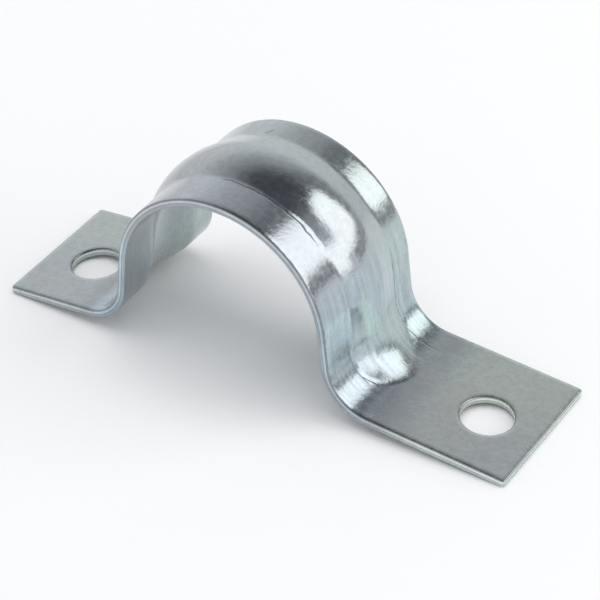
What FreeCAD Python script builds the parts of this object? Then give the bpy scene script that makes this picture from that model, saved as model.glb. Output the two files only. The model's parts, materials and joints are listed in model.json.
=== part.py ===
"""Two-hole conduit strap: one strip of zinc-plated steel, pressed into an arch with two drilled feet.

Frame: millimetres, +Z up, X along the strip from the short foot to the long foot, Y across the strip.
The origin lies under the middle of the strap's box, on the surface that the foot tips stand on.
The conduit runs along Y through the arch.
"""
import FreeCAD
import Part
import math
import os

from FreeCAD import Vector

# Strip
strip_width = 19.0
sheet = 1.0

# Arch and legs
arch_bore = 26.8            # diameter of the space for the conduit, inside the flanges
leg_lean = 5.5              # degrees by which each leg splays from the vertical
leg_run = 4.8               # straight length of each leg, between the arch and the foot bend
bend_radius = 5.5           # concave radius of each foot bend, on the strap's outer face

# Feet
short_foot = 11.6           # flat length of the foot at -X, from its bend to its tip
long_foot = 18.1            # flat length of the foot at +X
tip_drop = 1.15             # how far the unscrewed feet droop, measured at their tips
hole_diameter = 6.4
hole_from_tip = 7.0         # along the foot, from the tip to the hole's centre
hole_offset = -0.9          # the holes are punched off the middle of the strip

# Stiffening bead
bead_width = 9.2            # twice the distance from the crown's top line to the near root's outer end
bead_rise = 1.1             # height of the crown above the flanges
bead_root_radius = 1.2      # concave radius along the roots, on the outer face
bead_offset = 0.3           # the bead is pressed off the middle of the strip
flank_angle = 15.5          # slope in degrees at which the bead's +Y side runs out, straight, to its root
heel_ease = 1.5             # by how much the crown's heel radius exceeds the foot bend's
run_out_angle = 14.0        # degrees at which the crown runs into the foot

tool_overrun = 1.0          # how far a cutting solid reaches past the sheet
across = Vector(0.0, 1.0, 0.0)
tolerance = 1e-3            # two points closer than this are the same point
arch_radius = arch_bore / 2.0 + sheet
bend_height = bend_radius + sheet + tip_drop
crown_radius = ((bead_width / 2.0) ** 2 + bead_rise ** 2) / (2.0 * bead_rise) - bead_root_radius
heel_radius = bend_radius + heel_ease


def direction(degrees, side):
    """Unit vector in the XZ plane, that many degrees above level, pointing to the given side."""
    angle = math.radians(degrees)
    return Vector(side * math.cos(angle), 0.0, math.sin(angle))


def droop(foot_length):
    """Degrees by which a foot slopes, so that the lower edge of its tip touches the ground."""
    stand_off = bend_radius + sheet
    reach = math.hypot(stand_off, foot_length)
    return math.degrees(math.atan2(foot_length, stand_off) - math.acos(bend_height / reach))


class Half:
    """Side view of one half of the strap in the XZ plane: its outer face from the arch to the tip."""

    def __init__(self, side, foot_length, arch_centre):
        slope = droop(foot_length)
        self.side = side
        self.arch_centre = arch_centre
        self.leg_normal = direction(leg_lean, side)
        self.leg_down = direction(leg_lean - 90.0, side)
        self.foot_normal = direction(90.0 - slope, side)
        self.foot_out = direction(-slope, side)
        self.leg_top = arch_centre + self.leg_normal * arch_radius
        self.leg_foot = self.leg_top + self.leg_down * leg_run
        self.bend_centre = self.leg_foot + self.leg_normal * bend_radius
        self.bend_end = self.bend_centre - self.foot_normal * bend_radius
        self.tip = self.bend_end + self.foot_out * foot_length

    def edges(self, offset):
        """Leg, bend and foot of the path that lies `offset` outside the outer face."""
        leg_top = self.leg_top + self.leg_normal * offset
        leg_foot = self.leg_foot + self.leg_normal * offset
        bend_end = self.bend_end + self.foot_normal * offset
        tip = self.tip + self.foot_normal * offset
        middle = (self.leg_normal + self.foot_normal).normalize()
        bend_middle = self.bend_centre - middle * (bend_radius - offset)
        leg = Part.LineSegment(leg_top, leg_foot).toShape()
        bend = Part.Arc(leg_foot, bend_middle, bend_end).toShape()
        foot = Part.LineSegment(bend_end, tip).toShape()
        return [leg, bend, foot]

    def end(self, offset):
        """Foot tip of the path that lies `offset` outside the outer face."""
        return self.tip + self.foot_normal * offset


def make_halves():
    """Both halves of the strap, placed so that its box is centred on the origin."""
    lean = math.radians(leg_lean)
    leg_top_height = bend_height + leg_run * math.cos(lean) - bend_radius * math.sin(lean)
    trial = Vector(0.0, 0.0, leg_top_height - arch_radius * math.sin(lean))
    middle = (Half(1, long_foot, trial).tip.x + Half(-1, short_foot, trial).tip.x) / 2.0
    arch_centre = trial - Vector(middle, 0.0, 0.0)
    return Half(-1, short_foot, arch_centre), Half(1, long_foot, arch_centre)


def path_edges(left, right, offset):
    """The whole path from tip to tip, `offset` outside the outer face."""
    crown = left.arch_centre + Vector(0.0, 0.0, arch_radius + offset)
    start = left.leg_top + left.leg_normal * offset
    finish = right.leg_top + right.leg_normal * offset
    arch = Part.Arc(start, crown, finish).toShape()
    return left.edges(offset) + [arch] + right.edges(offset)


def extrude_across(edges):
    """Solid of the strip's full width from a closed outline in the XZ plane."""
    outline = Part.Wire(Part.__sortEdges__(edges))
    outline.translate(across * (-strip_width / 2.0))
    return Part.Face(outline).extrude(across * strip_width)


def make_strip(left, right):
    """The plain bent strip, before the bead and the holes."""
    outer = path_edges(left, right, 0.0)
    inner = path_edges(left, right, -sheet)
    ends = [Part.LineSegment(half.end(0.0), half.end(-sheet)).toShape() for half in (left, right)]
    return extrude_across(outer + inner + ends)


def space_above(left, right):
    """Everything above the middle of the sheet, where the bead may add metal."""
    headroom = arch_radius + bead_rise
    lift = Vector(0.0, 0.0, left.arch_centre.z + headroom)
    low_left = left.end(-sheet / 2.0)
    low_right = right.end(-sheet / 2.0)
    cover = [
        Part.LineSegment(low_left, low_left + lift).toShape(),
        Part.LineSegment(low_left + lift, low_right + lift).toShape(),
        Part.LineSegment(low_right + lift, low_right).toShape(),
    ]
    return extrude_across(path_edges(left, right, -sheet / 2.0) + cover)


def crown_section(root, normal, radius, depth):
    """Section of the crown, an arc and a straight flank, cut off `depth` under the outer face at `root`."""
    level = crown_radius - bead_rise - depth
    slope = math.radians(flank_angle)
    centre = root + normal * (bead_rise - crown_radius) + across * bead_offset
    flank_out = across * math.cos(slope) - normal * math.sin(slope)
    flank_length = (radius * math.cos(slope) - level) / math.sin(slope)
    near = centre + normal * level - across * math.sqrt(radius ** 2 - level ** 2)
    flank_start = centre + (normal * math.cos(slope) + across * math.sin(slope)) * radius
    far = flank_start + flank_out * flank_length
    arc = Part.Arc(near, centre + normal * radius, flank_start).toShape()
    flank = Part.LineSegment(flank_start, far).toShape()
    chord = Part.LineSegment(far, near).toShape()
    return Part.Face(Part.Wire([arc, flank, chord]))


def heel_centre(half):
    """Centre of the crown's arc over the foot bend: it touches the leg and dips into the foot."""
    off_leg = bead_rise + heel_radius - bend_radius
    off_foot = heel_radius * math.cos(math.radians(run_out_angle)) - bend_radius
    turn = half.leg_normal.dot(half.foot_normal)
    along_leg_normal = (off_leg - turn * off_foot) / (1.0 - turn ** 2)
    along_foot_normal = (off_foot - turn * off_leg) / (1.0 - turn ** 2)
    shift = half.leg_normal * along_leg_normal + half.foot_normal * along_foot_normal
    return half.bend_centre + shift


def sweep_crown(left, right, radius, depth):
    """The crown's segment taken over the arch, down both legs and round both heels."""
    sweep_angle = 180.0 - 2.0 * leg_lean
    start = crown_section(right.leg_top, right.leg_normal, radius, depth)
    pieces = [start.revolve(right.arch_centre, across * -1.0, sweep_angle)]
    for half in (left, right):
        section = crown_section(half.leg_top, half.leg_normal, radius, depth)
        centre = heel_centre(half)
        run = (centre - half.leg_top).dot(half.leg_down)
        pieces.append(section.extrude(half.leg_down * run))
        section.translate(half.leg_down * run)
        turn = math.degrees(half.leg_normal.getAngle(half.foot_normal))
        pieces.append(section.revolve(centre, across * -half.side, turn))
    return pieces[0].fuse(pieces[1:]).removeSplitter()


def root_edges(body, left, right, offset):
    """Edges where the bead meets the flanges, on the face that lies `offset` from the outer one."""
    flange_path = Part.Wire(Part.__sortEdges__(path_edges(left, right, offset)))
    found = []
    for edge in body.Edges:
        middle = edge.valueAt((edge.FirstParameter + edge.LastParameter) / 2.0)
        on_rim = abs(abs(middle.y) - strip_width / 2.0) < tolerance
        fold_line = isinstance(edge.Curve, Part.Line) and abs(edge.Curve.Direction.dot(across)) > 0.5
        if on_rim or fold_line:
            continue
        side_view = Part.Vertex(middle.x, 0.0, middle.z)
        if side_view.distToShape(flange_path)[0] < tolerance:
            found.append(edge)
    return found


def press_bead(strip, left, right):
    """Raise the hollow bead out of the strip and round its roots on both faces."""
    raised = sweep_crown(left, right, crown_radius, sheet).common(space_above(left, right))
    hollow = sweep_crown(left, right, crown_radius - sheet, sheet + tool_overrun)
    body = strip.fuse(raised).cut(hollow).removeSplitter()
    body = body.makeFillet(bead_root_radius, root_edges(body, left, right, 0.0))
    return body.makeFillet(bead_root_radius + sheet, root_edges(body, left, right, -sheet))


def punch_hole(body, half):
    """The strap with one screw hole through it, square to the foot."""
    centre = half.tip - half.foot_out * hole_from_tip + across * hole_offset
    start = centre + half.foot_normal * tool_overrun
    length = sheet + 2.0 * tool_overrun
    punch = Part.makeCylinder(hole_diameter / 2.0, length, start, half.foot_normal * -1.0)
    return body.cut(punch)


def make_strap():
    """The finished strap as one closed solid."""
    left, right = make_halves()
    body = press_bead(make_strip(left, right), left, right)
    for half in (left, right):
        body = punch_hole(body, half)
    return body.removeSplitter()


strap = make_strap()
if not strap.isValid() or len(strap.Solids) != 1:
    raise RuntimeError("the strap is not one valid solid")
os.makedirs("parts", exist_ok=True)
strap.Solids[0].exportStep("parts/strap.step")
print("strap", round(strap.Volume, 2), strap.BoundBox)
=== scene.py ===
"""Looks of a zinc-plated conduit strap, laid out as an add-on: the pressed strip and the studio around it.

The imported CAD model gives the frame. The strip is rebuilt here as one fine surface on the same
dimensions, with its sheared edges and rolled-over rims, because the plate mirrors its surroundings and
shows every facet. Lengths are metres. Sheet coordinates are s, the distance along the strap's outer face
from the top of the arch towards +X, and y, the distance across the strip.
"""
import json
import math

import bmesh
import bpy
import numpy as np
from bpy.props import FloatProperty, FloatVectorProperty, PointerProperty
from mathutils import Matrix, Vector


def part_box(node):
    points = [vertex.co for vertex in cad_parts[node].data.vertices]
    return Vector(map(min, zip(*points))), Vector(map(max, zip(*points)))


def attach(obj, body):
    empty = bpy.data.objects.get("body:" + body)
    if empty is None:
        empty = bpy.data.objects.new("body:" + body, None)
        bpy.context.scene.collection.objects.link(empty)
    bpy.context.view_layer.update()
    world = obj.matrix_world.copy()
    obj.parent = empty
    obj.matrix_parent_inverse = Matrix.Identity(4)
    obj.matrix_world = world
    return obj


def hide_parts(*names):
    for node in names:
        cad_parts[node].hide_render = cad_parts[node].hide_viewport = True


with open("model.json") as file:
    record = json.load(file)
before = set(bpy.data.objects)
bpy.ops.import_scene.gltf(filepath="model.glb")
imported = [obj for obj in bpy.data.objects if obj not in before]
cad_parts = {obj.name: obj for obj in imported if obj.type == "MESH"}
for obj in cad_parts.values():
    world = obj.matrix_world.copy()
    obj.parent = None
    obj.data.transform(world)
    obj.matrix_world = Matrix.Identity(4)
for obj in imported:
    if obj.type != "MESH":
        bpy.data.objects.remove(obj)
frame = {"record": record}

bl_info = {
    "name": "Conduit strap",
    "version": (1, 0, 0),
    "blender": (4, 5, 0),
    "location": "View3D > Sidebar > Strap",
    "description": "Pressed-steel conduit strap with a zinc finish, and a studio for it",
    "category": "Object",
}

MM = 0.001
NODE = "strap"
MOUNTS = {mount["name"]: mount for mount in frame["record"]["mounts"]}
SEAT = MOUNTS["conduit_seat"]
HOLES = {-1: MOUNTS["short_foot_hole"], 1: MOUNTS["long_foot_hole"]}
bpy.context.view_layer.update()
BOX_LOW, BOX_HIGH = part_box(NODE)
SHEET_MM = HOLES[1]["dims"]["length_mm"]
BORE_RADIUS_MM = SEAT["dims"]["r_mm"]
BEAD_RISE_MM = (BOX_HIGH.z - SEAT["pos_m"][2]) / MM - BORE_RADIUS_MM - SHEET_MM

# How the mesh is laid out. None of these changes the strap's own sizes.
ARC_POINTS = 6              # points on each quarter circle of a sheared edge
EDGE_CROWDING = 1.3         # above 1, stations across the strip crowd towards its edges
RING_CROWDING = 0.6         # above 0, the rings of a foot crowd towards its hole and its outline
JOINT_GAP = 3.5 * MM        # from a hole's rim to the line where the foot meets the middle
SLOPE_STEPS = 20.0          # steps for measuring a slope in one mesh spacing
MERGE_STEPS = 200.0         # distances within which points are joined in one mesh spacing
LEAST_BLEND = 1e-9          # keeps a division by the blend's size safe where the ground is level


def metres(name, text, value, low=0.0):
    """A length property in metres, with its default given in millimetres."""
    return FloatProperty(name=name, description=text, default=value * MM, min=low, subtype="DISTANCE",
                         unit="LENGTH", precision=5)


def degrees(name, text, value):
    """An angle property, with its default given in degrees."""
    return FloatProperty(name=name, description=text, default=math.radians(value), subtype="ANGLE")


def share(name, text, value, high=1.0):
    """A plain number property from 0 up."""
    return FloatProperty(name=name, description=text, default=value, min=0.0, max=high, precision=4)


def colour(name, text, value):
    """A linear colour property."""
    return FloatVectorProperty(name=name, description=text, default=value, size=3, min=0.0, max=2.0,
                               subtype="COLOR")


class StripSettings(bpy.types.PropertyGroup):
    """Sizes of the bent strip and of its sheared edges."""

    width: metres("Width", "Width of the strip", SEAT["dims"]["length_mm"])
    sheet: metres("Sheet", "Thickness of the sheet", SHEET_MM)
    bore: metres("Arch radius", "Radius of the arch inside the flanges", BORE_RADIUS_MM)
    hole: metres("Hole radius", "Radius of the screw holes", HOLES[1]["dims"]["r_mm"])
    leg_lean: degrees("Leg lean", "Splay of each leg from the vertical", 5.5)
    leg_run: metres("Leg run", "Straight length of each leg", 4.8)
    bend_radius: metres("Bend radius", "Concave radius of the foot bends, on the outer face", 5.5)
    arris: metres("Arris radius", "Radius that shearing leaves on the upper edges", 0.22)
    pull_down: metres("Pull-down", "Depth by which shearing draws the face down at an edge", 0.09)
    pull_down_reach: metres("Pull-down reach", "How far in from an edge the face is drawn down", 0.65)
    corner: metres("Corner radius", "Radius of the four corners of the strip, seen from above", 0.45)
    burr: metres("Lower arris", "Radius of the lower edges", 0.05)
    smooth_end: share("Smooth part", "Share of the sheet's thickness at which the torn part starts", 0.55)
    break_step: metres("Break step", "How far the torn part of a sheared edge lies back", 0.035)
    spacing: metres("Mesh spacing", "Distance between the lines of the mesh", 0.27)


class BeadSettings(bpy.types.PropertyGroup):
    """Sizes of the stiffening bead."""

    width: metres("Width", "Twice the distance from the crown's top line to the near root's end", 9.2)
    rise: metres("Rise", "Height of the crown above the flanges", BEAD_RISE_MM)
    root: metres("Root radius", "Concave radius along the near root, on the outer face", 1.2)
    far_root: metres("Far root radius", "Concave radius along the root at +Y, on the outer face", 2.8)
    offset: metres("Offset", "How far the bead lies off the middle of the strip", 0.3, low=-1.0)
    flank: degrees("Flank angle", "Slope at which the bead's +Y side runs out, straight, to its root", 15.5)
    heel_ease: metres("Heel ease", "By how much the crown's heel radius exceeds the bend's", 1.5)
    run_out: degrees("Run-out", "Angle at which the crown runs into the foot", 14.0)


# Shape of the strap ---------------------------------------


class Path:
    """Side view of the strap's outer face: arch, leg, bend and foot on each side of the arch's top."""

    def __init__(self, strip, bead):
        self.strip = strip
        self.bead = bead
        self.centre = np.array([SEAT["pos_m"][0], SEAT["pos_m"][2]])
        self.radius = strip.bore + strip.sheet
        self.heel_radius = strip.bend_radius + bead.heel_ease
        self.arch_length = self.radius * (math.pi / 2.0 - strip.leg_lean)
        self.sides = {side: self.side_data(side) for side in (-1, 1)}

    def side_data(self, side):
        """Directions, centres and lengths of one half, in the XZ plane."""
        strip = self.strip
        lean = strip.leg_lean
        leg_normal = np.array([side * math.cos(lean), math.sin(lean)])
        leg_down = np.array([side * math.sin(lean), -math.cos(lean)])
        foot_normal = np.array(HOLES[side]["axis"])[[0, 2]]
        foot_out = np.array([side * foot_normal[1], -side * foot_normal[0]])
        leg_top = self.centre + leg_normal * self.radius
        bend_centre = leg_top + leg_down * strip.leg_run + leg_normal * strip.bend_radius
        bend_end = bend_centre - foot_normal * strip.bend_radius
        tip_x = BOX_HIGH.x if side > 0 else BOX_LOW.x
        foot_length = (tip_x - bend_end[0]) / foot_out[0]
        turn = math.acos(leg_normal @ foot_normal)
        return {
            "leg_normal": leg_normal, "leg_down": leg_down, "leg_top": leg_top,
            "foot_normal": foot_normal, "foot_out": foot_out, "foot_length": foot_length,
            "bend_centre": bend_centre, "bend_end": bend_end,
            "bend_length": strip.bend_radius * turn,
            "heel_centre": bend_centre + self.heel_shift(leg_normal, foot_normal),
        }

    def heel_shift(self, leg_normal, foot_normal):
        """Way from the bend's centre to the centre of the bead's heel.

        The heel's circle touches the crown's line down the leg and meets the foot at the run-out angle.
        That fixes how far its centre lies off the leg and off the foot, measured along their normals.
        """
        bend_radius = self.strip.bend_radius
        off_leg = self.bead.rise + self.heel_radius - bend_radius
        off_foot = self.heel_radius * math.cos(self.bead.run_out) - bend_radius
        meet = leg_normal @ foot_normal
        along_leg = (off_leg - meet * off_foot) / (1.0 - meet ** 2)
        along_foot = (off_foot - meet * off_leg) / (1.0 - meet ** 2)
        return leg_normal * along_leg + foot_normal * along_foot

    def tip(self, side):
        """Sheet coordinate s of a foot tip."""
        data = self.sides[side]
        return side * (self.arch_length + self.strip.leg_run + data["bend_length"] + data["foot_length"])

    def hole(self, side):
        """Sheet coordinates of the centre of a foot's hole."""
        data = self.sides[side]
        place = np.array(HOLES[side]["pos_m"])
        along = (place[[0, 2]] - data["bend_end"]) @ data["foot_out"]
        return side * (self.arch_length + self.strip.leg_run + data["bend_length"] + along), place[1]

    def at(self, s):
        """Points of the outer face and its unit normals at s, both as x and z.

        Arch: centre plus radius along the normal, whose angle grows with s. Leg: straight down from the
        arch. Bend: centre less the bend radius along the normal. Foot: straight out from the bend.
        """
        s = np.asarray(s, float)
        angle = s / self.radius
        normal = np.stack([np.sin(angle), np.cos(angle)], -1)
        point = self.centre + self.radius * normal
        for side, data in self.sides.items():
            past_arch = side * s - self.arch_length
            past_leg = past_arch - self.strip.leg_run
            past_bend = past_leg - data["bend_length"]
            turned = self.strip.leg_lean + past_leg / self.strip.bend_radius
            bend_normal = np.stack([side * np.cos(turned), np.sin(turned)], -1)
            leg_point = data["leg_top"] + past_arch[..., None] * data["leg_down"]
            bend_point = data["bend_centre"] - self.strip.bend_radius * bend_normal
            foot_point = data["bend_end"] + past_bend[..., None] * data["foot_out"]
            for past, stretch_point, stretch_normal in (
                (past_arch, leg_point, data["leg_normal"]),
                (past_leg, bend_point, bend_normal),
                (past_bend, foot_point, data["foot_normal"]),
            ):
                reached = past[..., None] > 0.0
                point = np.where(reached, stretch_point, point)
                normal = np.where(reached, stretch_normal, normal)
        return point, normal

    def crown(self, s, y, inset):
        """Height of the bead's crown surface above the outer face, `inset` inside the outer crown.

        Over the arch and legs the section is a circle about the bead's centre line, which goes over into
        a straight flank towards +Y. Round the heel the surface is the near side of a ring about the
        heel's centre, met along the outer face's normal. Beyond that centre it stays at the ring's
        lowest point, which lies inside the sheet.
        """
        bead = self.bead
        half = bead.width / 2.0
        radius = (half ** 2 + bead.rise ** 2) / (2.0 * bead.rise) - bead.root
        circle = radius - inset
        aside_y = y - bead.offset
        past_flank = aside_y - circle * math.sin(bead.flank)
        reach = np.sqrt(np.maximum(circle ** 2 - aside_y ** 2, 0.0))
        flank_reach = circle * math.cos(bead.flank) - past_flank * math.tan(bead.flank)
        reach = np.where(past_flank > 0.0, flank_reach, reach)
        height = reach - (radius - bead.rise)
        point, normal = self.at(s)
        for side, data in self.sides.items():
            from_heel = point - data["heel_centre"]
            ring = self.heel_radius + radius - reach
            along = np.sum(from_heel * normal, -1)
            aside = np.sum(from_heel ** 2, -1) - along ** 2
            beyond = np.sum(from_heel * data["foot_out"], -1) > 0.0
            heel_height = -along - np.sqrt(np.maximum(ring ** 2 - np.where(beyond, 0.0, aside), 0.0))
            below = np.sum(from_heel * data["leg_down"], -1) > 0.0
            height = np.where(below & (side * s > 0.0), heel_height, height)
        return height

    def raised(self, s, y, inset, root):
        """Crown height blended into the flange at `root` radius, or a softer one along the far side.

        A parabola takes over where crown and flange are closer than half the root radius times the
        crown's slope squared, which gives it that radius of curvature.
        """
        step = self.strip.spacing / SLOPE_STEPS
        crown = self.crown(s, y, inset) + inset
        slope_s = (self.crown(s + step, y, inset) - self.crown(s - step, y, inset)) / (2.0 * step)
        slope_y = (self.crown(s, y + step, inset) - self.crown(s, y - step, inset)) / (2.0 * step)
        slope = np.minimum(slope_s ** 2 + slope_y ** 2, 1.0)
        softer = (self.bead.far_root - self.bead.root) * (y > self.bead.offset)
        blend = np.maximum((root + softer) * slope / 2.0, LEAST_BLEND)
        near = np.maximum(blend - np.abs(crown), 0.0)
        return np.maximum(crown, 0.0) + near ** 2 / (4.0 * blend)

    def place(self, s, y, height):
        """Points in space at `height` above the outer face."""
        point, normal = self.at(s)
        spot = point + normal * np.asarray(height)[..., None]
        return np.stack([spot[..., 0], np.broadcast_to(y, spot.shape[:-1]), spot[..., 1]], -1)


# Mesh of the strap ----------------------------------------


def edge_profile(strip):
    """Section of a sheared edge from the upper face to the lower one, as insets and depths.

    A quarter circle of the arris radius starts where the face has been drawn down. A smooth wall
    follows, then the torn part, set back by the break step, and a quarter circle at the lower arris.
    """
    turn = np.linspace(0.0, math.pi / 2.0, ARC_POINTS)
    start = drawn_down(strip, strip.arris)
    upper = np.stack([strip.arris * (1.0 - np.sin(turn)), start + strip.arris * (1.0 - np.cos(turn))], -1)
    smooth_end = strip.smooth_end * strip.sheet
    torn = np.array([[0.0, smooth_end], [strip.break_step, smooth_end + 2.0 * strip.break_step]])
    lower = np.stack([
        strip.break_step + strip.burr * (1.0 - np.cos(turn)),
        strip.sheet - strip.burr * (1.0 - np.sin(turn)),
    ], -1)
    return np.concatenate([upper, torn, lower])


def drawn_down(strip, inset):
    """Depth to which shearing draws the upper face down at `inset` from an edge: a parabola."""
    return strip.pull_down * np.maximum(1.0 - inset / strip.pull_down_reach, 0.0) ** 2


class Sheet:
    """Rings and grids of the strap's mesh, worked out in sheet coordinates."""

    def __init__(self, path):
        self.path = path
        self.strip = path.strip
        self.half = self.strip.width / 2.0
        self.profile = edge_profile(self.strip)
        self.lower_inset = self.profile[-1, 0]
        self.grids = []

    def edge_distance(self, s, y):
        """Distance from the nearest long edge, tip or hole."""
        nearest = self.half - np.abs(y)
        for side in (-1, 1):
            hole_s, hole_y = self.path.hole(side)
            nearest = np.minimum(nearest, np.abs(self.path.tip(side)) - side * s)
            nearest = np.minimum(nearest, np.hypot(s - hole_s, y - hole_y) - self.strip.hole)
        return nearest

    def add(self, s, y, height, depth, flip):
        """Keep one grid of the surface, with its sheet coordinates and its depth through the wall."""
        s, y, height, depth = np.broadcast_arrays(s, y, height, depth)
        self.grids.append((self.path.place(s, y, height), s, y, depth, flip))

    def add_face(self, s, y, lower, flip):
        """Keep a grid that lies on the upper or lower face."""
        inset = self.strip.sheet if lower else 0.0
        height = self.path.raised(s, y, inset, self.path.bead.root + inset) - inset
        if not lower:
            height = height - drawn_down(self.strip, self.edge_distance(s, y))
        self.add(s, y, height, 1.0 if lower else 0.0, flip)

    def add_edge(self, s, y, flip):
        """Keep a sheared edge, whose last axis runs down the edge profile."""
        depth = self.profile[:, 1]
        self.add(s, y, -depth, depth / self.strip.sheet, flip)

    def across(self, inset):
        """Stations across the strip, `inset` from both long edges, closer together towards them."""
        share_out = np.linspace(-1.0, 1.0, int(self.strip.width / self.strip.spacing) + 1)
        crowded = 1.0 - (1.0 - np.abs(share_out)) ** EDGE_CROWDING
        return np.sign(share_out) * crowded * (self.half - inset)

    def add_middle(self, start, end):
        """The strip between the feet: both faces and both sheared long edges."""
        s = np.linspace(start, end, int((end - start) / self.strip.spacing) + 1)[:, None]
        self.add_face(s, self.across(self.profile[0, 0])[None, :], False, False)
        self.add_face(s, self.across(self.lower_inset)[None, :], True, True)
        for side in (-1, 1):
            self.add_edge(s, side * (self.half - self.profile[:, 0]), side < 0)

    def outline(self, side, joint, inset):
        """Free edge of a foot at `inset`, as points from the joint round the tip and back.

        Points beyond the centre of a corner both ways are drawn in to the corner's radius. Their count
        doesn't depend on `inset`, so that the rings of an edge match.
        """
        length = abs(self.path.tip(side)) - abs(joint)
        tip = abs(joint) + length - inset
        half = self.half - inset
        along = np.linspace(abs(joint), tip, int(length / self.strip.spacing) + 1)
        across = self.across(inset)
        s = np.concatenate([along, np.full(len(across) - 2, tip), along[::-1]])
        y = np.concatenate([np.full(len(along), -half), across[1:-1], np.full(len(along), half)])
        radius = self.strip.corner - inset
        past_s = np.maximum(s - tip + radius, 0.0)
        past_y = np.maximum(np.abs(y) - half + radius, 0.0)
        reach = np.hypot(past_s, past_y)
        cut = np.where((past_s > 0.0) & (past_y > 0.0), radius / np.maximum(reach, radius), 1.0)
        s = s - past_s * (1.0 - cut)
        y = y - np.sign(y) * past_y * (1.0 - cut)
        return side * s, y

    def around_hole(self, side, turn, inset):
        """Points `inset` outside the rim of a foot's hole, at the angles `turn` about its centre."""
        hole_s, hole_y = self.path.hole(side)
        radius = self.strip.hole + inset
        return hole_s + radius * np.cos(turn), hole_y + radius * np.sin(turn)

    def add_foot_face(self, side, turn, rim, inset, lower):
        """One face of a foot: straight lines from the hole's rim to the outline, in rings.

        A sine wave taken off the even shares brings the first and last rings closer together.
        """
        hole_s, hole_y = self.around_hole(side, turn[:, None], inset)
        share_out = np.linspace(0.0, 1.0, int(self.half / self.strip.spacing))[None, :]
        share_out = share_out - RING_CROWDING * np.sin(2.0 * math.pi * share_out) / (2.0 * math.pi)
        s = hole_s * (1.0 - share_out) + rim[0][:, None] * share_out
        y = hole_y * (1.0 - share_out) + rim[1][:, None] * share_out
        self.add_face(s, y, lower, (side < 0) == lower)

    def add_foot(self, side, joint):
        """A foot: both faces between hole and outline, the hole's wall and its sheared outline."""
        upper_inset = self.profile[0, 0]
        upper = self.closed_outline(side, joint, upper_inset)
        lower = self.closed_outline(side, joint, self.lower_inset)
        hole_s, hole_y = self.path.hole(side)
        turn = np.arctan2(upper[1] - hole_y, upper[0] - hole_s)
        self.add_foot_face(side, turn, upper, upper_inset, False)
        self.add_foot_face(side, turn, lower, self.lower_inset, True)
        insets = self.profile[:, 0]
        self.add_edge(*self.around_hole(side, turn[:, None], insets), side < 0)
        rings = [self.outline(side, joint, inset) for inset in insets]
        self.add_edge(*np.stack(rings, -1), side > 0)

    def closed_outline(self, side, joint, inset):
        """Outline of a foot closed along the joint with the middle of the strip."""
        s, y = self.outline(side, joint, inset)
        back = self.across(inset)[::-1][1:]
        return np.concatenate([s, np.full(len(back), joint)]), np.concatenate([y, back])

    def mesh(self, name):
        """One closed mesh of all grids, with a UV map of sheet coordinates and a depth attribute."""
        points, faces, sheet_uv, depths = [], [], [], []
        first = 0
        for place, s, y, depth, flip in self.grids:
            rows, columns = s.shape
            index = first + np.arange(rows * columns).reshape(rows, columns)
            quad = np.stack([index[:-1, :-1], index[1:, :-1], index[1:, 1:], index[:-1, 1:]], -1)
            faces.append(quad.reshape(-1, 4)[:, ::-1] if flip else quad.reshape(-1, 4))
            points.append(place.reshape(-1, 3))
            sheet_uv.append(np.stack([s, y], -1).reshape(-1, 2))
            depths.append(depth.reshape(-1))
            first += rows * columns
        faces = np.concatenate(faces)
        mesh = bpy.data.meshes.new(name)
        mesh.from_pydata(np.concatenate(points), [], faces)
        uv = mesh.uv_layers.new(name="sheet")
        uv.data.foreach_set("uv", (np.concatenate(sheet_uv)[faces] / MM).astype(np.float32).ravel())
        depth = mesh.attributes.new("depth", "FLOAT", "POINT")
        depth.data.foreach_set("value", np.concatenate(depths).astype(np.float32))
        self.merge(mesh)
        mesh.shade_smooth()
        return mesh

    def merge(self, mesh):
        """Join the grids along their shared lines."""
        body = bmesh.new()
        body.from_mesh(mesh)
        bmesh.ops.remove_doubles(body, verts=body.verts, dist=self.strip.spacing / MERGE_STEPS)
        body.to_mesh(mesh)
        body.free()


def strip_mesh(strip, bead):
    """Mesh of the whole strap: the middle and two feet, which meet on the arch's side of the holes."""
    sheet = Sheet(Path(strip, bead))
    joints = {}
    for side in (-1, 1):
        hole_s, _ = sheet.path.hole(side)
        joints[side] = hole_s - side * (strip.hole + JOINT_GAP)
    sheet.add_middle(joints[-1], joints[1])
    for side in (-1, 1):
        sheet.add_foot(side, joints[side])
    return sheet.mesh("strap_body")


# Finish ---------------------------------------------------


# Zones along the sheet, in mm from the top of the arch: each range runs from one end of a soft
# change to the other. The feet are told apart by the sign of s, the legs and bends are not.
LEG_START, LEG_END = (14.0, 20.0), (30.0, 35.0)
BEND_START, BEND_END = (23.0, 28.0), (34.0, 37.0)
LONG_FOOT, SHORT_FOOT = (38.0, 44.0), (-34.0, -28.0)
MATT_DRIFT = 6.0            # mm by which the large patches shift the start of the matt feet
SIDE_WANDER = 9.0           # mm by which the small patches shift the drift between the long edges
SIDE_DRIFT = (0.0, 10.0)    # mm across the strip over which its tint goes from one edge's to the other's
SIDE_SHARE = 0.5            # share of that drift in the tint; the large patches have the rest

# Depths through a sheared edge, as shares of the sheet's thickness: the soft changes at both ends of
# the torn part, then upper face, arris, smooth part, seam, torn part and lower face
TORN_START, TORN_END = (0.53, 0.59), (0.93, 0.985)
BAND_DEPTHS = (0.0, 0.05, 0.2, 0.28, 0.5, 0.55, 0.61, 0.94, 0.99)

GLOSS_SPREAD = (-0.05, 0.08)        # how far the roughness strays over short distances
STREAK_SPREAD = (0.86, 1.1)         # colour factors of the streaks that the die leaves on the legs

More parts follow.
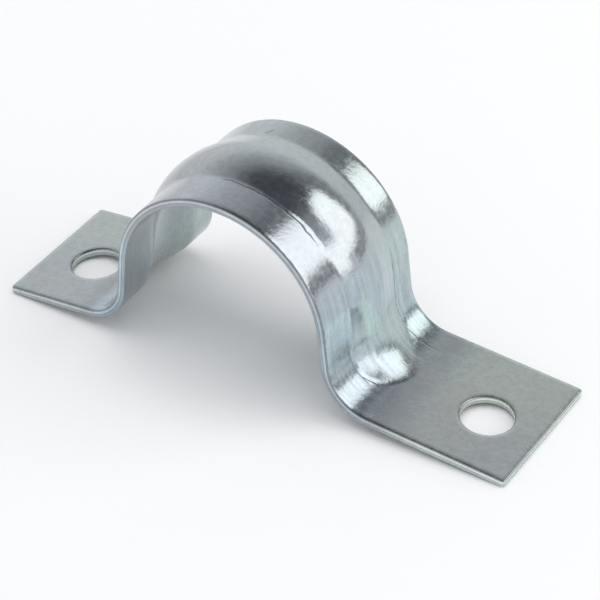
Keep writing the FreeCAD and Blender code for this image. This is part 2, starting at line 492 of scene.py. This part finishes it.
# Features of each pattern to one mm along the sheet and across it
ROLLING_STRETCH = (0.22, 5.0, 1.0)
DRAWING_STRETCH = (0.13, 1.9, 1.0)
SCRATCH_STRETCH = (0.11, 9.0, 1.0)
SCRATCH_GROUPS = (0.16, 0.16, 1.0)
TEAR_STRETCH = (4.0, 4.0, 1.0)

# Fine scratches: angle to the strip in radians, and a shift that sets the pattern
SCRATCHES = (
    (0.5, (3.0, 8.0, 0.0)),
    (-0.9, (17.0, 2.0, 0.0)),
)

# Single marks: centre as (s, y), angle to the strip in radians, length and width; all lengths in mm
# The lines along the bead's roots are cut in and darkened in colour: partly a crease, partly painted shade in
# those concave roots. The short scratch near the top is wear.
MARKS = (
    ((4.5, -4.5), 0.0, 17.0, 0.26),     # crease along the bead's near root, over the arch
    ((26.0, 5.7), 0.0, 19.0, 0.26),     # crease along its far root, down the long foot's leg
    ((-3.0, 6.5), 0.9, 1.3, 0.14),      # short scratch near the top
    ((30.8, -4.4), 0.4, 2.6, 0.18),     # crease across the near root at the heel
    ((28.5, -4.9), 0.06, 6.0, 0.16),    # crease along the near root above the heel
)
MARK_WOBBLE = 3.0           # range over which a mark strays about its line, in its own widths
MARK_FADE = 0.3             # share of a mark's length, from its centre, at which it starts to fade


class ZincSettings(bpy.types.PropertyGroup):
    """Colours and wear of the zinc plate. Pattern sizes are metres over the strap's surface."""

    plain: colour("Plain zinc", "Colour of the plate between its tinted patches", (0.442, 0.476, 0.482))
    blue: colour("Blue tint", "Colour of the blue patches of the passivated plate", (0.408, 0.434, 0.490))
    green: colour("Green tint", "Colour of the green patches", (0.450, 0.506, 0.499))
    warm: colour("Warm tint", "Colour of the warm patches", (0.468, 0.462, 0.430))
    leg: colour("Leg", "Colour factor of the legs, which forming has drawn bright", (1.0, 1.09, 1.11))
    matt: colour("Matt plate", "Colour factor of the long foot's duller, paler plate", (1.42, 1.40, 1.30))
    matt_short: share("Matt short foot", "How much of the long foot's dullness the short foot has", 0.5)
    matt_rough: share("Matt roughness", "Roughness that the matt plate has above the rest", 0.14)
    bend_rough: share("Bend roughness", "Roughness that the outside of the bends has above the rest", 0.06)
    patch: metres("Patch size", "Typical size of a tinted patch", 8.0)
    gloss: share("Roughness", "Roughness of the undamaged plate", 0.17)
    mottle: share("Mottling", "How much the plate's colour varies over short distances", 0.10)
    tinting: share("Tinting", "How much of the large patches' tint gives way to plain zinc", 0.75)
    specks: share("Specks", "How dark the dull specks are", 0.16)
    streak: share("Grain", "How strongly the rolled sheet's grain changes the roughness", 0.03)
    scratch: share("Scratches", "How much the fine scratches roughen the plate", 0.22)
    speck_rough: share("Speck roughness", "Roughness that the dull specks have above the rest", 0.044)
    wave: metres("Waviness", "Depth of the shallow unevenness left by forming", 0.02)
    ripple: metres("Ripple", "Depth of the finer unevenness left by forming", 0.0032)
    pits: metres("Pits", "Depth of the fine pits of the plate", 0.014)
    nicks: metres("Nicks", "Depth of the dull specks", 0.003)
    cuts: metres("Cuts", "Depth of the fine scratches", 0.001)
    drawn: metres("Drawing marks", "Depth of the streaks that the die leaves down the legs", 0.012)
    dents: metres("Dents", "Depth of the crumpling on the outside of the bends", 0.03)
    mark: metres("Marks", "Depth of the creases and single scratches", 0.045)
    # Darkening of the marks: painted shade along the bead's roots, and the dark bottom of the short scratch.
    root_shade_and_scratch_wear: share("Mark shade", "Colour factor at the bottom of a crease or scratch", 0.62)
    sheared: colour("Sheared edge", "Colour factor of the smooth part of a sheared edge", (1.28, 1.28, 1.28))
    torn: colour("Torn edge", "Colour factor of the torn part of a sheared edge", (1.0, 1.0, 1.01))
    torn_rough: share("Torn roughness", "Roughness that the torn part has above the rest", 0.3)
    tears: metres("Tears", "Depth of the torn part's own relief", 0.03)
    # Painted dark reflection of the rolled-over arris, laid into its colour.
    arris_dark_reflection: share("Arris shade", "Colour factor of the rolled-over arris", 0.6)
    seam_shade: share("Seam shade", "Colour factor between the smooth and the torn part", 0.45)


# Colour sockets of a Mix node, which has others of the same names for numbers and vectors
MIX_COLOUR_INPUTS = (0, 6, 7)
MIX_COLOUR_OUTPUT = 2


class Nodes:
    """Short calls that build one node tree."""

    def __init__(self, tree):
        self.tree = tree
        tree.nodes.clear()

    def fill(self, socket, value):
        """Link a socket to another, or give it a value."""
        if isinstance(value, bpy.types.NodeSocket):
            self.tree.links.new(value, socket)
        else:
            socket.default_value = value

    def add(self, kind, inputs=None, **settings):
        """A node with its settings made and its inputs linked or filled."""
        node = self.tree.nodes.new(kind)
        for name, value in settings.items():
            setattr(node, name, value)
        for name, value in (inputs or {}).items():
            self.fill(node.inputs[name], value)
        return node

    def math(self, operation, first, second=0.0, clamp=False):
        """Result of one sum on two values."""
        return self.add("ShaderNodeMath", {0: first, 1: second}, operation=operation,
                        use_clamp=clamp).outputs["Value"]

    def blend(self, share_of_second, first, second, mode="MIX"):
        """Two colours mixed."""
        node = self.add("ShaderNodeMix", data_type="RGBA", blend_type=mode)
        factor, colour_a, colour_b = (node.inputs[index] for index in MIX_COLOUR_INPUTS)
        self.fill(factor, share_of_second)
        self.fill(colour_a, first)
        self.fill(colour_b, second)
        return node.outputs[MIX_COLOUR_OUTPUT]

    def ramp(self, value, stops, interpolation="LINEAR"):
        """Colour read from (place, colour) stops."""
        node = self.add("ShaderNodeValToRGB", {"Fac": value})
        elements = node.color_ramp.elements
        node.color_ramp.interpolation = interpolation
        while len(elements) < len(stops):
            elements.new(0.5)
        for element, (place, tint) in zip(elements, stops):
            element.position = place
            element.color = shade(tint)
        return node.outputs["Color"]

    def level(self, value, low, high, start=0.0, end=1.0):
        """A value carried smoothly from low..high to start..end."""
        return self.add("ShaderNodeMapRange", {
            "Value": value, "From Min": low, "From Max": high, "To Min": start, "To Max": end,
        }, interpolation_type="SMOOTHSTEP").outputs["Result"]

    def between(self, value, rise, fall):
        """Mask that comes in over the first range of a value and goes out over the second."""
        return self.math("MULTIPLY", self.level(value, *rise), self.level(value, *fall, 1.0, 0.0))

    def scaled(self, value, factor):
        """A value times a factor."""
        return self.math("MULTIPLY", value, factor)

    def total(self, values):
        """Sum of several values."""
        result = values[0]
        for value in values[1:]:
            result = self.math("ADD", result, value)
        return result

    def most(self, values):
        """Highest of several values."""
        result = values[0]
        for value in values[1:]:
            result = self.math("MAXIMUM", result, value)
        return result

    def stretch(self, vector, scale, turn=0.0, shift=(0.0, 0.0, 0.0)):
        """A coordinate moved, turned about Z and scaled."""
        return self.add("ShaderNodeMapping", {
            "Vector": vector, "Location": shift, "Rotation": (0.0, 0.0, turn), "Scale": scale,
        }).outputs["Vector"]

    def noise(self, vector, scale, detail=2.0, rough=0.5, warp=0.0):
        """Noise from 0 to 1, with `scale` features to one unit of the coordinate."""
        return self.add("ShaderNodeTexNoise", {
            "Vector": vector, "Scale": scale, "Detail": detail, "Roughness": rough, "Distortion": warp,
        }).outputs["Fac"]


def grey(value):
    """A neutral colour."""
    return (value, value, value)


def shade(value):
    """A colour with its alpha."""
    return (*value, 1.0)


def scratches(nodes, sheet, turn, shift):
    """Mask of fine straight scratches at one angle: peaks of a noise drawn out along them."""
    drawn = nodes.stretch(sheet, SCRATCH_STRETCH, turn, shift)
    sparse = nodes.noise(nodes.stretch(sheet, SCRATCH_GROUPS, 0.0, shift), 1.0)
    line = nodes.level(nodes.noise(drawn, 1.0, detail=1.0), low=0.68, high=0.76)
    return nodes.math("MULTIPLY", line, nodes.level(sparse, low=0.42, high=0.62))


def mark(nodes, sheet, centre, turn, length, width):
    """Mask of one line on the sheet: a length and a width in mm about a centre, with a slight wobble."""
    ahead_axis = (math.cos(turn), math.sin(turn), 0.0)
    aside_axis = (-math.sin(turn), math.cos(turn), 0.0)
    away = nodes.add("ShaderNodeVectorMath", {0: sheet, 1: (*centre, 0.0)}, operation="SUBTRACT")
    away = away.outputs["Vector"]
    ahead = nodes.add("ShaderNodeVectorMath", {0: away, 1: ahead_axis}, operation="DOT_PRODUCT")
    aside = nodes.add("ShaderNodeVectorMath", {0: away, 1: aside_axis}, operation="DOT_PRODUCT")
    wobble = nodes.math("SUBTRACT", nodes.noise(sheet, 0.5, detail=3.0), 0.5)
    aside = nodes.math("ADD", aside.outputs["Value"], nodes.scaled(wobble, MARK_WOBBLE * width))
    line = nodes.level(nodes.math("ABSOLUTE", aside), 0.0, width / 2.0, 1.0, 0.0)
    ahead = nodes.math("ABSOLUTE", ahead.outputs["Value"])
    within = nodes.level(ahead, MARK_FADE * length, length / 2.0, 1.0, 0.0)
    return nodes.math("MULTIPLY", line, within)


class Plate:
    """Coordinates, patterns and masks that the colour, the gloss and the relief of the plate share.

    Object coordinates and sheet coordinates are both in mm here, so a noise's scale is its count of
    features to one mm.
    """

    def __init__(self, nodes, zinc):
        place = nodes.add("ShaderNodeTexCoord").outputs["Object"]
        in_mm = nodes.add("ShaderNodeVectorMath", {0: place, "Scale": 1.0 / MM}, operation="SCALE")
        self.place = in_mm.outputs["Vector"]
        self.sheet = nodes.add("ShaderNodeUVMap", uv_map="sheet").outputs["UV"]
        self.depth = nodes.add("ShaderNodeAttribute", attribute_name="depth").outputs["Fac"]
        split = nodes.add("ShaderNodeSeparateXYZ", {"Vector": self.sheet})
        self.along, self.aside = split.outputs["X"], split.outputs["Y"]
        self.add_patterns(nodes, MM / zinc.patch)
        self.add_zones(nodes, zinc)

    def add_patterns(self, nodes, patch):
        """Noises at `patch` patches to one mm and finer, and what is scattered over the plate."""
        elsewhere = nodes.stretch(self.place, (1.0, 1.0, 1.0), 0.0, (37.0, 11.0, 5.0))
        self.cloud = nodes.noise(self.place, patch, detail=3.0, rough=0.45, warp=0.9)
        self.small_cloud = nodes.noise(elsewhere, 1.7 * patch, detail=3.0)
        self.fine = nodes.noise(self.place, 1.3, detail=6.0, rough=0.62)
        self.grain = nodes.noise(nodes.stretch(self.sheet, ROLLING_STRETCH), 1.0, detail=4.0, rough=0.6)
        self.streaks = nodes.noise(nodes.stretch(self.sheet, DRAWING_STRETCH), 1.0, detail=3.0, rough=0.6)
        self.speck = nodes.level(nodes.noise(self.place, 4.2, detail=3.0, rough=0.6), low=0.66, high=0.74)
        self.scratches = nodes.most([scratches(nodes, self.sheet, *each) for each in SCRATCHES])
        self.marks = nodes.most([mark(nodes, self.sheet, *each) for each in MARKS])

    def add_zones(self, nodes, zinc):
        """Masks of the legs, the bends, the matt feet and the torn part of the sheared edges."""
        out = nodes.math("ABSOLUTE", self.along)
        inside_calm = nodes.level(self.depth, low=0.5, high=1.0, start=1.0, end=0.4)
        self.leg = nodes.math("MULTIPLY", nodes.between(out, LEG_START, LEG_END), inside_calm)
        self.bend = nodes.between(out, BEND_START, BEND_END)
        drift = nodes.math("ADD", self.along, nodes.scaled(self.cloud, MATT_DRIFT))
        self.matt = nodes.math("ADD", nodes.level(drift, *LONG_FOOT),
                               nodes.level(drift, *SHORT_FOOT, zinc.matt_short, 0.0))
        self.torn = nodes.between(self.depth, TORN_START, TORN_END)


def plate_tint(nodes, zinc, plate):
    """Tint of the passivated plate: large soft patches over a drift from one long edge to the other."""
    patches = nodes.ramp(plate.cloud, [
        (0.30, zinc.blue), (0.44, zinc.plain), (0.54, zinc.green), (0.66, zinc.warm),
    ], "EASE")
    thinned = nodes.level(plate.small_cloud, low=0.42, high=0.68, end=zinc.tinting)
    patches = nodes.blend(thinned, patches, shade(zinc.plain))
    wander = nodes.math("ADD", plate.aside, nodes.scaled(plate.small_cloud, SIDE_WANDER))
    sides = nodes.blend(nodes.level(wander, *SIDE_DRIFT), shade(zinc.blue), shade(zinc.green))
    return nodes.blend(SIDE_SHARE, patches, sides)


def plate_colour(nodes, zinc, plate):
    """Base colour: the tint with its mottling and specks, then feet, legs, marks and sheared edges. Along the
    bead's roots the marks are painted shade, and the arris band is a painted dark reflection.
    """
    mottling = nodes.level(plate.fine, low=0.3, high=0.7, start=1.0 - zinc.mottle,
                           end=1.0 + zinc.mottle / 2.0)
    specks = nodes.math("SUBTRACT", 1.0, nodes.scaled(plate.speck, zinc.specks))
    base = nodes.blend(1.0, plate_tint(nodes, zinc, plate), nodes.math("MULTIPLY", mottling, specks),
                       "MULTIPLY")
    base = nodes.blend(plate.matt, base, nodes.blend(1.0, base, shade(zinc.matt), "MULTIPLY"))
    drawn = nodes.blend(1.0, base, shade(zinc.leg), "MULTIPLY")
    dark_streak, bright_streak = STREAK_SPREAD
    streaks = nodes.level(plate.streaks, low=0.3, high=0.7, start=dark_streak, end=bright_streak)
    drawn = nodes.blend(1.0, drawn, streaks, "MULTIPLY")
    base = nodes.blend(plate.leg, base, drawn)
    # The marks darken the colour: painted shade along the bead's roots, and the dark bottom of the short
    # scratch.
    marks = nodes.level(plate.marks, low=0.2, high=1.0, start=1.0, end=zinc.root_shade_and_scratch_wear)
    base = nodes.blend(1.0, base, marks, "MULTIPLY")
    # The arris band is darkened: a painted dark reflection of its rounding.
    arris, seam = grey(zinc.arris_dark_reflection), grey(zinc.seam_shade)
    tints = (grey(1.0), arris, arris, zinc.sheared, zinc.sheared, seam, zinc.torn, zinc.torn, grey(1.0))
    bands = nodes.ramp(plate.depth, list(zip(BAND_DEPTHS, tints)))
    return nodes.blend(1.0, base, bands, "MULTIPLY")


def plate_roughness(nodes, zinc, plate):
    """Roughness: that of the whole plate, and what feet, bends, scratches, specks and tears add."""
    half_streak = zinc.streak / 2.0
    glossy, dull = (zinc.gloss + shift for shift in GLOSS_SPREAD)
    return nodes.math("ADD", nodes.total([
        nodes.level(plate.fine, low=0.3, high=0.75, start=glossy, end=dull),
        nodes.level(plate.grain, low=0.35, high=0.7, start=-half_streak, end=half_streak),
        nodes.scaled(plate.matt, zinc.matt_rough),
        nodes.scaled(plate.bend, zinc.bend_rough),
        nodes.scaled(plate.scratches, zinc.scratch),
        nodes.scaled(plate.speck, zinc.speck_rough),
    ]), nodes.scaled(plate.torn, zinc.torn_rough), clamp=True)


def plate_relief(nodes, zinc, plate):
    """Height of the fine relief above the mesh: what stands proud, less what is cut in."""
    dents = nodes.noise(plate.place, 0.8, detail=2.0, rough=0.5, warp=0.6)
    tears = nodes.noise(nodes.stretch(plate.sheet, TEAR_STRETCH), 1.0, detail=5.0, rough=0.7)
    raised = nodes.total([
        nodes.scaled(nodes.noise(plate.place, 0.24), zinc.wave),
        nodes.scaled(nodes.noise(plate.place, 0.9), zinc.ripple),
        nodes.scaled(nodes.noise(plate.place, 2.6, detail=3.0, rough=0.6), zinc.pits),
        nodes.scaled(nodes.math("MULTIPLY", plate.leg, plate.streaks), zinc.drawn),
        nodes.scaled(nodes.math("MULTIPLY", plate.bend, dents), zinc.dents),
        nodes.scaled(nodes.math("MULTIPLY", plate.torn, tears), zinc.tears),
    ])
    cut = nodes.total([
        nodes.scaled(plate.marks, zinc.mark),
        nodes.scaled(plate.scratches, zinc.cuts),
        nodes.scaled(plate.speck, zinc.nicks),
    ])
    return nodes.math("SUBTRACT", raised, cut)


def zinc_material(zinc):
    """Bright zinc plate with soft passivation tints, fine wear, and banded sheared edges."""
    material = bpy.data.materials.new("zinc_plate")
    material.use_nodes = True
    nodes = Nodes(material.node_tree)
    plate = Plate(nodes, zinc)
    bump = nodes.add("ShaderNodeBump", {
        "Height": plate_relief(nodes, zinc, plate), "Distance": 1.0, "Strength": 1.0,
    })
    shader = nodes.add("ShaderNodeBsdfPrincipled", {
        "Base Color": plate_colour(nodes, zinc, plate),
        "Roughness": plate_roughness(nodes, zinc, plate),
        "Metallic": 1.0,
        "Normal": bump.outputs["Normal"],
    })
    nodes.add("ShaderNodeOutputMaterial", {"Surface": shader.outputs["BSDF"]})
    return material


# Studio ---------------------------------------------------


# Corners of both soft boxes in one upright plane past the +X end, as (y, z) in shares of the plane's
# distance from the origin, with z counted from the level given below
MAIN_BOX = ((0.19, 0.22), (0.84, 0.26), (1.60, 0.44), (1.86, 1.45), (2.12, 2.05), (2.22, 2.42), (1.80, 2.58),
            (0.58, 2.0), (0.19, 1.35))
SIDE_BOX = ((-0.21, 0.05), (0.23, 0.05), (0.23, 0.56), (-0.21, 0.56))
BOX_DISTANCE = 0.5          # metres, like the lengths that follow
BOX_LEVEL = 0.02

# Lamp overhead
LAMP_HEIGHT = 1.1
LAMP_SIZE = 1.0
LAMP_WATTS = 4.0            # for each square metre of the lamp, at a brightness setting of 1

# How dark the studio is with the height of a direction, from wall (0) to ceiling (1)
DARKENING = ((0.34, 0.0), (0.50, 0.21), (0.766, 0.56), (0.92, 0.96), (1.0, 1.0))

# The drape covers the directions on one side of three planes: each has an axis and a soft edge
DRAPE = (
    ((0.674, -0.352, 0.649), -0.08, 0.08),
    ((1.0, 0.0, 0.0), -0.2, 0.12),
    ((-0.423, 0.906, 0.0), -0.1, 0.1),
)
SENSOR_MM = 36.0
NEAREST = 0.01              # metres; the camera sees nothing closer than this


class StudioSettings(bpy.types.PropertyGroup):
    """Floor, light and camera."""

    floor: colour("Floor", "Colour of the floor", (0.93, 0.93, 0.93))
    floor_size: metres("Floor size", "Width of the floor", 5000.0)
    wall: colour("Studio wall", "Colour of the studio near the floor, which the metal mirrors",
                 (0.90, 0.92, 0.95))
    ceiling: colour("Studio ceiling", "Colour of the studio overhead", (0.105, 0.11, 0.125))
    drape: share("Drape", "How much of the ceiling's darkness the drape beside the main box has", 0.6)
    box_light: share("Soft box", "Brightness of both soft boxes", 2.1, high=20.0)
    fill_light: share("Overhead light", "Brightness of the broad light from above", 1.6, high=20.0)
    azimuth: degrees("Camera azimuth", "Camera's turn about the strap, from its front", 33.093)
    elevation: degrees("Camera elevation", "Camera's height angle", 38.022)
    roll: degrees("Camera roll", "Camera's turn about its own axis", -1.168)
    distance: metres("Camera distance", "Distance from the camera to its aim", 318.8)
    lens: FloatProperty(name="Lens", description="Focal length on a 36 mm sensor", default=162.0, min=1.0,
                        subtype="DISTANCE_CAMERA")
    aim: FloatVectorProperty(name="Aim", description="Point the camera aims at", size=3, precision=5,
                             default=(1.694 * MM, -0.110 * MM, 7.270 * MM), subtype="TRANSLATION")


def flat_object(name, corners, material):
    """A flat shape with one material, linked into the scene."""
    mesh = bpy.data.meshes.new(name)
    mesh.from_pydata(corners, [], [tuple(range(len(corners)))])
    mesh.materials.append(material)
    made = bpy.data.objects.new(name, mesh)
    bpy.context.collection.objects.link(made)
    return made


def floor_material(studio):
    """Matt pale board with a very slight unevenness of tone."""
    material = bpy.data.materials.new("floor_board")
    material.use_nodes = True
    nodes = Nodes(material.node_tree)
    place = nodes.add("ShaderNodeTexCoord").outputs["Object"]
    tone = nodes.level(nodes.noise(place, 6.0, detail=3.0), low=0.3, high=0.7, start=0.985, end=1.0)
    shader = nodes.add("ShaderNodeBsdfPrincipled", {
        "Base Color": nodes.blend(1.0, shade(studio.floor), tone, "MULTIPLY"),
        "Roughness": 0.9, "Specular IOR Level": 0.1,
    })
    nodes.add("ShaderNodeOutputMaterial", {"Surface": shader.outputs["BSDF"]})
    return material


def glow_material(name, tone, strength):
    """Cloth that glows evenly."""
    material = bpy.data.materials.new(name)
    material.use_nodes = True
    nodes = Nodes(material.node_tree)
    shader = nodes.add("ShaderNodeEmission", {"Color": shade(tone), "Strength": strength})
    nodes.add("ShaderNodeOutputMaterial", {"Surface": shader.outputs["Emission"]})
    return material


def make_floor(studio):
    """A level square about the origin."""
    half = studio.floor_size / 2.0
    corners = ((-half, -half, 0.0), (half, -half, 0.0), (half, half, 0.0), (-half, half, 0.0))
    flat_object("floor", corners, floor_material(studio))


def make_soft_boxes(studio):
    """Two glowing shapes in the upright plane, which the camera itself doesn't see."""
    cloth = glow_material("box_cloth", grey(1.0), studio.box_light)
    for name, corners in (("main_box", MAIN_BOX), ("side_box", SIDE_BOX)):
        spots = [(BOX_DISTANCE, y * BOX_DISTANCE, z * BOX_DISTANCE + BOX_LEVEL) for y, z in corners]
        box = flat_object(name, spots, cloth)
        box.visible_camera = False


def make_overhead_lamp(studio):
    """Broad lamp above the strap, which lights the floor and isn't mirrored."""
    lamp = bpy.data.lights.new("overhead", "AREA")
    lamp.shape = "SQUARE"
    lamp.size = LAMP_SIZE
    lamp.energy = LAMP_WATTS * LAMP_SIZE ** 2 * studio.fill_light
    made = bpy.data.objects.new("overhead", lamp)
    bpy.context.collection.objects.link(made)
    made.location = (0.0, 0.0, LAMP_HEIGHT)
    made.visible_glossy = False


def side_of(nodes, direction, axis, low, high):
    """Mask of the directions on one side of a plane through the strap, soft from low to high."""
    along = nodes.add("ShaderNodeVectorMath", {0: direction, 1: axis}, operation="DOT_PRODUCT")
    return nodes.level(along.outputs["Value"], low, high)


def make_world(studio):
    """Studio whose walls are pale near the floor and darken with height, with a dark drape on one side."""
    world = bpy.data.worlds.new("studio")
    world.use_nodes = True
    bpy.context.scene.world = world
    nodes = Nodes(world.node_tree)
    direction = nodes.add("ShaderNodeTexCoord").outputs["Generated"]
    rise = nodes.add("ShaderNodeSeparateXYZ", {"Vector": direction}).outputs["Z"]
    dark = nodes.ramp(rise, [(height, grey(darkness)) for height, darkness in DARKENING])
    tone = nodes.blend(dark, shade(studio.wall), shade(studio.ceiling))
    drape = studio.drape
    for axis, low, high in DRAPE:
        drape = nodes.math("MULTIPLY", drape, side_of(nodes, direction, axis, low, high))
    tone = nodes.blend(drape, tone, shade(studio.ceiling))
    back = nodes.add("ShaderNodeBackground", {"Color": tone, "Strength": 1.0})
    nodes.add("ShaderNodeOutputWorld", {"Surface": back.outputs["Background"]})


def make_camera(studio):
    """Camera at its azimuth, elevation and roll, looking at its aim."""
    turn = Matrix.Rotation(studio.azimuth, 4, "Z") @ Matrix.Rotation(math.pi / 2.0 - studio.elevation, 4, "X")
    turn = turn @ Matrix.Rotation(studio.roll, 4, "Z")
    data = bpy.data.cameras.new("camera")
    data.lens = studio.lens
    data.sensor_width = SENSOR_MM
    data.clip_start = NEAREST
    made = bpy.data.objects.new("camera", data)
    bpy.context.collection.objects.link(made)
    back_off = Matrix.Translation((0.0, 0.0, studio.distance))
    made.matrix_world = Matrix.Translation(studio.aim) @ turn @ back_off
    bpy.context.scene.camera = made


# Operators ------------------------------------------------


class STRAP_OT_strip(bpy.types.Operator):
    """Make the pressed strip with its zinc finish"""

    bl_idname = "strap.strip"
    bl_label = "Make the strip"

    def execute(self, context):
        scene = context.scene
        mesh = strip_mesh(scene.strap_strip, scene.strap_bead)
        mesh.materials.append(zinc_material(scene.strap_zinc))
        piece = bpy.data.objects.new("strap_body", mesh)
        context.collection.objects.link(piece)
        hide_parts(NODE)
        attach(piece, "root")
        return {"FINISHED"}


class STRAP_OT_studio(bpy.types.Operator):
    """Set up the floor, the light and the camera"""

    bl_idname = "strap.studio"
    bl_label = "Set up the studio"

    def execute(self, context):
        studio = context.scene.strap_studio
        make_floor(studio)
        make_world(studio)
        make_soft_boxes(studio)
        make_overhead_lamp(studio)
        make_camera(studio)
        context.scene.view_settings.view_transform = "Standard"
        return {"FINISHED"}


SETTINGS = {
    "strap_strip": StripSettings,
    "strap_bead": BeadSettings,
    "strap_zinc": ZincSettings,
    "strap_studio": StudioSettings,
}
OPERATORS = (STRAP_OT_strip, STRAP_OT_studio)


class STRAP_PT_panel(bpy.types.Panel):
    """Sidebar panel with the strap's settings and the operators that use them"""

    bl_idname = "STRAP_PT_panel"
    bl_label = "Conduit strap"
    bl_space_type = "VIEW_3D"
    bl_region_type = "UI"
    bl_category = "Strap"

    def draw(self, context):
        for name, group in SETTINGS.items():
            box = self.layout.box()
            for each in group.__annotations__:
                box.prop(getattr(context.scene, name), each)
        for operator in OPERATORS:
            self.layout.operator(operator.bl_idname)


CLASSES = (*SETTINGS.values(), *OPERATORS, STRAP_PT_panel)


def register():
    """Register the classes and hang the settings on the scene."""
    for each in CLASSES:
        bpy.utils.register_class(each)
    for name, group in SETTINGS.items():
        setattr(bpy.types.Scene, name, PointerProperty(type=group))


def unregister():
    """Take the settings and the classes away again."""
    for name in SETTINGS:
        delattr(bpy.types.Scene, name)
    for each in reversed(CLASSES):
        bpy.utils.unregister_class(each)


def main():
    register()
    bpy.ops.strap.strip()
    bpy.ops.strap.studio()


if __name__ == "__main__":
    main()
